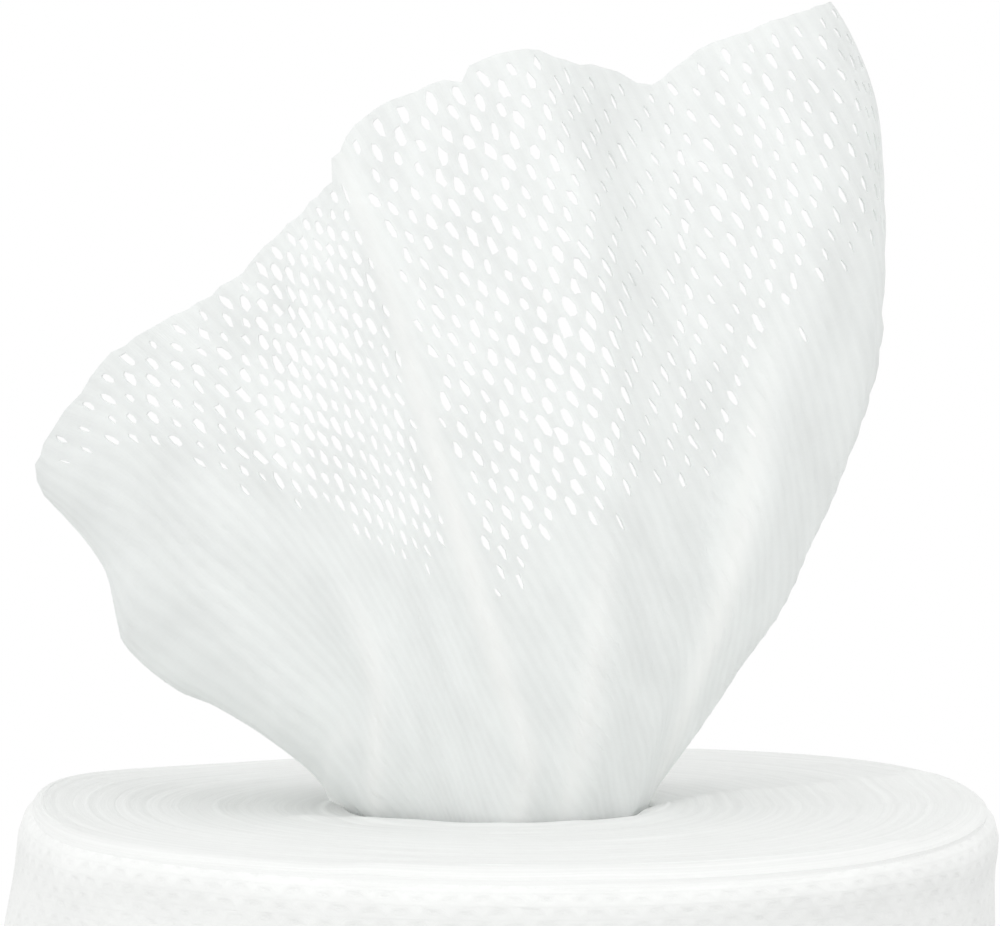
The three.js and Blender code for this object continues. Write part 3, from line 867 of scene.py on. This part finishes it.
class WIPES_OT_leading_wipe(bpy.types.Operator):
    """Makes the leading wipe: the flat apertured web gathered in the hole and fanned out above it."""

    bl_idname = "wipes.leading_wipe"
    bl_label = "Leading wipe"

    def execute(self, context):
        web, wipe = context.scene.wipes_web, context.scene.wipes_wipe
        side = wipe.width / MM
        across_cells = 2 * round(side / (2 * web.row_step / MM)) + 1
        along_steps = 2 * round(side / (web.hole_step / MM))
        p = np.linspace(0, side, across_cells + 1)
        q = np.linspace(0, side, along_steps + 1)
        share, reach = self.flat_to_fan(p, q)
        held = self.surface(share, reach, wipe)
        settled_nodes = self.relaxed(self.crumpled(held, p, q, wipe), held, p, q, reach, wipe.settling)
        nodes = self.crumpled(held + stiffened(settled_nodes - held), p, q, wipe)
        nodes, crest = self.folded(nodes, share, reach, wipe)
        self.build(context, nodes, crest, p, q, share, reach)
        return {"FINISHED"}

    @staticmethod
    def flat_to_fan(p, q):
        """For each place on the flat wipe, its ray (0 to 1) and its reach.
        The reach is 0 at the mouth, 1 at the torn edge and -1 at the root."""
        share = np.linspace(0, 1, FLAT_STEPS)
        edge_p, mouth_p, mouth_q, root_p, bow = (values_through(column, share) for column in zip(*FLAT_RAYS))
        shares, reaches = [], []
        for height in q:
            above = (height - mouth_q) / (q[-1] - mouth_q)
            below = (height - mouth_q) / mouth_q
            reach = np.where(above >= 0, above, below)
            bowed = reach * (edge_p - mouth_p) + 4 * bow * reach * (1 - reach)
            line = mouth_p + np.where(reach >= 0, bowed, -reach * (root_p - mouth_p))
            line = np.maximum.accumulate(line + 1e-6 * np.arange(len(line)))
            shares.append(np.interp(p, line, share))
            reaches.append(np.interp(p, line, reach))
        return np.array(shares).T, np.array(reaches).T

    def surface(self, share, reach, wipe):
        """Points of the held surface: the fan above the mouth, and gathers straight down the hole.
        Each ray of the fan is read at equal steps of its length."""
        rays = np.linspace(0, 1, FAN_RAYS)
        steps = np.linspace(0, 1, FAN_STEPS)
        grid_rays, grid_steps = np.meshgrid(rays, steps, indexing="ij")
        points = self.fan(grid_rays, grid_steps, wipe)
        run = np.cumsum(np.linalg.norm(np.diff(points, axis=1), axis=2), axis=1)
        run = np.hstack([np.zeros((len(rays), 1)), run])
        even = np.stack([np.interp(steps, r / r[-1], steps) for r in run])
        points = self.fan(grid_rays, even, wipe)
        place, along = share * (len(rays) - 1), np.clip(reach, 0, 1) * (len(steps) - 1)
        i, j = np.minimum(place.astype(int), len(rays) - 2), np.minimum(along.astype(int), len(steps) - 2)
        u, v = (place - i)[..., None], (along - j)[..., None]
        lower, upper = (blend(points[i, k], points[i + 1, k], u) for k in (j, j + 1))
        above = blend(lower, upper, v)
        down = np.clip(-reach, 0, 1) * (MOUTH_HEIGHT - blend(ROOT_LOWEST, ROOT_HIGHEST, share))
        below = self.throat(share, MOUTH_HEIGHT - down, wipe)
        return np.where(reach[..., None] >= 0, above, below)

    def throat(self, share, height, wipe):
        """Points on the gathered wall of the wipe in the hole."""
        degrees = values_through([ray[0] for ray in RAYS], share)
        angle = np.radians(degrees)
        depth = blend(wipe.front_gather, wipe.back_gather, smooth(np.sin(angle), 0.0, 0.6)) / MM
        gather = np.interp(degrees, GATHERS, np.arange(len(GATHERS)))
        gather = gather - np.clip(GATHERS[0] - degrees, 0, None) / FIRST_GATHER
        wander = WANDER_ASIDE * value_noise(gather * 0.9, height / ASIDE_LENGTH, 41)
        depth = depth * (1 + WANDER_DEEP * value_noise(gather, height / DEEP_LENGTH, 42))
        inward = 0.5 - 0.5 * np.cos(2 * math.pi * (gather + wander))
        radius = BORE_RADIUS - FIT_GAP - GATHER_CLEARANCE - depth * inward
        return round_axis(radius, angle, height)

    def fan(self, share, step, wipe):
        """Points of the smooth fan, by the cubic curve of each ray."""
        lift = np.array([0, 0, MOUTH_HEIGHT])
        mouth = self.throat(share, np.full(share.shape, MOUTH_HEIGHT), wipe)
        risen = mouth + (0, 0, THROAT_RISE)
        over = curve_through([ray[1] for ray in RAYS], share) + lift
        edge = curve_through([ray[2] for ray in RAYS], share) + lift
        t = step[..., None]
        return (1 - t) ** 3 * mouth + 3 * (1 - t) ** 2 * t * risen + 3 * (1 - t) * t**2 * over + t**3 * edge

    def folded(self, points, share, reach, wipe):
        """The cloth pushed out and in by its long folds, above the mouth.
        Gives also how near each node is to the crest of a steep fold."""
        step = np.clip(reach, 0, 1)
        push, crest = np.zeros(share.shape), np.zeros(share.shape)
        rays = len(RAYS) - 1
        # How far apart the rays are at each node, from places a tenth of a ray to its left and right.
        left, right = (np.clip(share + shift / rays, 0, 1) for shift in (-0.1, 0.1))
        apart = np.linalg.norm(self.fan(right, step, wipe) - self.fan(left, step, wipe), axis=-1)
        apart = np.maximum(apart / np.maximum((right - left) * rays, 0.05), LEAST_APART)
        for out, width, crisp, peak, fade, places in FOLDS:
            aside = (share * rays - np.interp(step, *zip(*places))) * apart / width
            along = (step - peak) / fade
            steep = np.exp(np.where(aside < 0, STEEP_FALL * aside, -aside * aside / GENTLE_WIDTH**2))
            form = blend(np.exp(-aside * aside), steep, crisp)
            lasting = np.maximum(0, 1 - along * along)
            push += out * form * lasting
            near = np.exp(-((aside * width / CREST_WIDTH) ** 2)) * np.sqrt(lasting)
            crest = np.maximum(crest, near * (crisp > 0.5))
        return points + self.normals(points) * (push * smooth(step, 0.0, FOLD_START))[..., None], crest

    @staticmethod
    def normals(points):
        """Outward directions on a grid of points."""
        return unit(np.cross(np.gradient(points, axis=0), np.gradient(points, axis=1)))

    def crumpled(self, points, p, q, wipe):
        """Soft dents and short creases, which the cloth then smooths to its own length."""
        pp, qq = np.meshgrid(p, q, indexing="ij")
        dents = sum(
            share * value_noise(pp / across + p_start, qq / along + q_start, seed)
            for share, across, p_start, along, q_start, seed in DENTS
        )
        return points + self.normals(points) * (dents * wipe.crumple / MM)[..., None]

    @staticmethod
    def relaxed(points, held, p, q, reach, rounds):
        """Moves the nodes until neighbours are as far apart as on the flat wipe.
        The gathers and the torn edge stay about where they are held."""
        dp, dq = p[1] - p[0], q[1] - q[0]
        rows, columns = points.shape[:2]
        at_edge, at_mouth = smooth(reach, EDGE_ZONE, 1.0), 1 - smooth(reach, 0.0, MOUTH_ZONE)
        grip = LOOSE_GRIP + EDGE_GRIP * at_edge + MOUTH_GRIP * at_mouth
        for _ in range(rounds):
            move = np.zeros_like(points)
            for i, j, stiff in LINKS:
                rest = math.hypot(i * dp, j * dq)
                a = np.s_[: rows - i, max(0, -j) : columns - max(0, j)]
                b = np.s_[i:, max(0, j) : columns + min(0, j)]
                gap = points[b] - points[a]
                length = np.linalg.norm(gap, axis=2, keepdims=True)
                pull = gap * (stiff * (1 - rest / np.maximum(length, 1e-6)) / len(LINKS))
                move[a] += pull
                move[b] -= pull
            points = points + OVERSHOOT * move
            points = points + grip[..., None] * (held - points)
        return points

    def build(self, context, nodes, crest, p, q, share, reach):
        """Both skins of the wipe, with its apertures cut through but for those drawn shut, which stay as
        dimples, and the cut and torn rims.
        """
        web, wipe = context.scene.wipes_web, context.scene.wipes_wipe
        random = np.random.default_rng(61)
        columns, rows = len(p), len(q)
        nodes = self.torn(nodes, p, q)
        out = self.normals(nodes)
        number = np.arange(columns * rows).reshape(columns, rows)
        flat = np.stack([*np.meshgrid(p, q, indexing="ij"), crest], axis=-1)
        i, j = brick_cells(columns - 1, rows - 1)
        up = reach[i, j + 1]
        layered = values_through(LAYERED, share[i, j + 1])
        below, above = LAYER_FADE
        closed = 1 - smooth(up, layered - below, layered + above)
        closed = np.maximum(closed, smooth(crest[i, j + 1], *SHUT_CREST))
        half_across, half_along = self.openings(nodes, i, j, p, q, share, reach, closed)
        sunk = random.uniform(-SHUT_CHANCE, SHUT_CHANCE, len(i)) + closed > 0.5
        points, normals, places = [nodes.reshape(-1, 3)], [out.reshape(-1, 3)], [flat.reshape(-1, 3)]
        faces, count = [half_cells(number)], number.size
        # Free apertures, those that have drawn shut where the web is gathered, and those down in the hole.
        free, shut, hidden = ~sunk, sunk & (up > 0), sunk & (up <= 0)
        zones = ((free, FREE_CORNERS), (shut, SHUT_CORNERS), (hidden, HIDDEN_CORNERS))
        for zone, corners in zones:
            a, b = i[zone], j[zone]
            state = random.bit_generator.state
            for grid, kept in ((nodes, points), (out, normals), (flat, places)):
                random.bit_generator.state = state
                rims = hole_rims(grid, a, b, corners, half_across[zone], half_along[zone], random)
                kept.append(rims.reshape(-1, rims.shape[-1]))
                if zone is shut:
                    kept.append(rims.mean(axis=1))
            rim_number = count + np.arange(len(a) * corners).reshape(-1, corners)
            count += rim_number.size
            faces.append(round_rims(a, b, rows, rim_number))
            if zone is shut:
                faces.append(round_middle(rim_number, count + np.arange(len(a))))
                points[-1] = points[-1] - DIMPLE * unit(normals[-1])
                count += len(a)
        points, normals, places = (np.concatenate(kept) for kept in (points, normals, places))
        half = unit(normals) * web.thickness / MM / 2
        front = np.concatenate(faces)
        rim = rim_edges(front)
        wall = np.stack([rim[:, 1], rim[:, 0], rim[:, 0] + count, rim[:, 1] + count], axis=1)
        skins = [front, front[:, ::-1] + count, wall]
        material = nonwoven("single_wipe", web.single_colour, web.row_step, LOOSE_RELIEF, SEE_THROUGH)
        piece = make_piece(
            "leading_wipe_cloth",
            np.concatenate([points + half, points - half]),
            skins,
            np.concatenate([places, places]),
            material,
            "single_wipe",
            "leading_wipe",
        )

    @staticmethod
    def torn(nodes, p, q):
        """The cloth with its last rows drawn out or in to the torn edge, where every column is frayed."""
        shift = np.interp(p, *zip(*TORN_EDGE))[:, None] * smooth(q, q[-1] - TEAR_DEPTH, q[-1])
        shift[:, -1] += np.random.default_rng(62).uniform(*FRAY, len(p))
        return nodes + unit(nodes[:, -1:] - nodes[:, -3:-2]) * shift[..., None]

    @staticmethod
    def openings(nodes, i, j, p, q, share, reach, closed):
        """Half the width and length of each aperture, as shares of its cell.
        It is wider where the web is thin and narrower where it has drawn shut."""
        here, up = share[i, j + 1] * (len(RAYS) - 1), reach[i, j + 1]
        beside, beyond = THIN_SPREAD
        thin = sum(
            np.exp(-(((here - ray) / beside) ** 2) - ((up - place) / beyond) ** 2)
            for ray, place in THIN_PLACES
        )
        wide = np.linalg.norm(nodes[i + 1, j + 1] - nodes[i, j + 1], axis=1) / (p[1] - p[0])
        long = np.linalg.norm(nodes[i, j + 2] - nodes[i, j], axis=1) / (q[2] - q[0])
        web = bpy.context.scene.wipes_web
        sizes = (web.hole_width / web.row_step / 2, web.hole_length / web.hole_step)
        stretches = (np.clip(wide, *STRETCH_ACROSS), np.clip(long, *STRETCH_ALONG))
        return [
            size * (1 + opening * thin) * (1 - closing * closed) / stretch
            for size, opening, closing, stretch in zip(sizes, THIN_OPENING, SHUT_CLOSING, stretches)
        ]


class WIPES_OT_stage(bpy.types.Operator):
    """Makes the floor, the even dome of light, the lamps and the camera."""

    bl_idname = "wipes.stage"
    bl_label = "Stage"

    def execute(self, context):
        stage = context.scene.wipes_stage
        context.scene.view_settings.view_transform = "Standard"
        self.floor()
        self.dome(stage.dome)
        self.lamp("key", stage.key, *KEY_LAMP)
        self.lamp("fill", stage.fill, *FILL_LAMP)
        self.camera(stage.distance, math.radians(stage.elevation))
        return {"FINISHED"}

    @staticmethod
    def camera(distance, lean):
        data = bpy.data.cameras.new("camera")
        data.lens = SENSOR_WIDTH * distance / VIEW_WIDTH
        data.clip_end = 2 * FLOOR_REACH
        camera = put_in_scene("camera", data)
        camera.location = Vector(VIEW_AIM) + distance * Vector((0, -math.cos(lean), math.sin(lean)))
        camera.rotation_euler = (math.pi / 2 - lean, 0, 0)
        bpy.context.scene.camera = camera

    @staticmethod
    def seen(shader):
        """1 where the background is seen directly or through gloss and glass."""
        light = shader.add("ShaderNodeLightPath")
        outputs = light.socket.node.outputs
        seen = Value(shader, outputs["Is Camera Ray"])
        for name in ("Is Glossy Ray", "Is Transmission Ray"):
            seen = seen.maths("MAXIMUM", seen, Value(shader, outputs[name]))
        return seen

    def floor(self):
        """Matt round the roll, where it holds the shadow, and plain white further off."""
        shader = Shader("pale_floor")
        place = shader.add("ShaderNodeNewGeometry")
        away = shader.add("ShaderNodeVectorMath", {"operation": "LENGTH"}, {0: place}, 1)
        levels = {0: away, 1: FLOOR_FADE[0], 2: FLOOR_FADE[1], 3: FLOOR_GLOW, 4: 1.0}
        far = shader.add("ShaderNodeMapRange", {"interpolation_type": "SMOOTHSTEP"}, levels)
        matt = shader.add("ShaderNodeBsdfDiffuse", None, {"Color": opaque((1, 1, 1), FLOOR_TONE)})
        glow = shader.add("ShaderNodeEmission", None, {"Color": (1, 1, 1, 1), "Strength": 1.0})
        lit = shader.add("ShaderNodeMixShader", None, {0: far * self.seen(shader), 1: matt, 2: glow})
        shader.add("ShaderNodeOutputMaterial", None, {"Surface": lit})
        mesh = bpy.data.meshes.new("floor")
        corners = [(x * FLOOR_REACH, y * FLOOR_REACH, 0) for x, y in ((-1, -1), (1, -1), (1, 1), (-1, 1))]
        mesh.from_pydata(corners, [], [(0, 1, 2, 3)])
        mesh.materials.append(shader.owner)
        put_in_scene("floor", mesh)

    def dome(self, strength):
        world = bpy.data.worlds.new("dome")
        bpy.context.scene.world = world
        shader = Shader("dome", world)
        level = strength + (1 - strength) * self.seen(shader)
        sky = shader.add("ShaderNodeBackground", None, {"Color": (1, 1, 1, 1), "Strength": level})
        shader.add("ShaderNodeOutputWorld", None, {"Surface": sky})

    @staticmethod
    def lamp(name, power, place, size):
        data = bpy.data.lights.new(name, "AREA")
        data.energy, data.shape, data.size = power, "DISK", size
        lamp = put_in_scene(name, data)
        lamp.location = place
        lamp.rotation_euler = (Vector(LAMP_AIM) - Vector(place)).to_track_quat("-Z", "Y").to_euler()


class WIPES_PT_panel(bpy.types.Panel):
    """Lists the pieces of the roll."""

    bl_idname = "WIPES_PT_panel"
    bl_label = "Roll of wipes"
    bl_space_type = "VIEW_3D"
    bl_region_type = "UI"
    bl_category = "Wipes"

    def draw(self, context):
        for name, group in GROUPS.items():
            box = self.layout.box()
            settings = getattr(context.scene, name)
            for key in group.__annotations__:
                box.prop(settings, key)
        for operator in OPERATORS:
            self.layout.operator(operator.bl_idname)


GROUPS = {
    "wipes_web": WebSettings,
    "wipes_roll": RollSettings,
    "wipes_wipe": WipeSettings,
    "wipes_stage": StageSettings,
}
OPERATORS = (WIPES_OT_stage, WIPES_OT_wound_body, WIPES_OT_outer_turn, WIPES_OT_leading_wipe)


def register():
    for group in (*GROUPS.values(), *OPERATORS, WIPES_PT_panel):
        bpy.utils.register_class(group)
    for name, group in GROUPS.items():
        setattr(bpy.types.Scene, name, PointerProperty(type=group))


def unregister():
    for name in GROUPS:
        delattr(bpy.types.Scene, name)
    for group in (WIPES_PT_panel, *reversed(OPERATORS), *reversed(GROUPS.values())):
        bpy.utils.unregister_class(group)


def main():
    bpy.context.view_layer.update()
    register()
    bpy.ops.wipes.stage()
    bpy.ops.wipes.wound_body()
    bpy.ops.wipes.outer_turn()
    bpy.ops.wipes.leading_wipe()


if __name__ == "__main__":
    main()
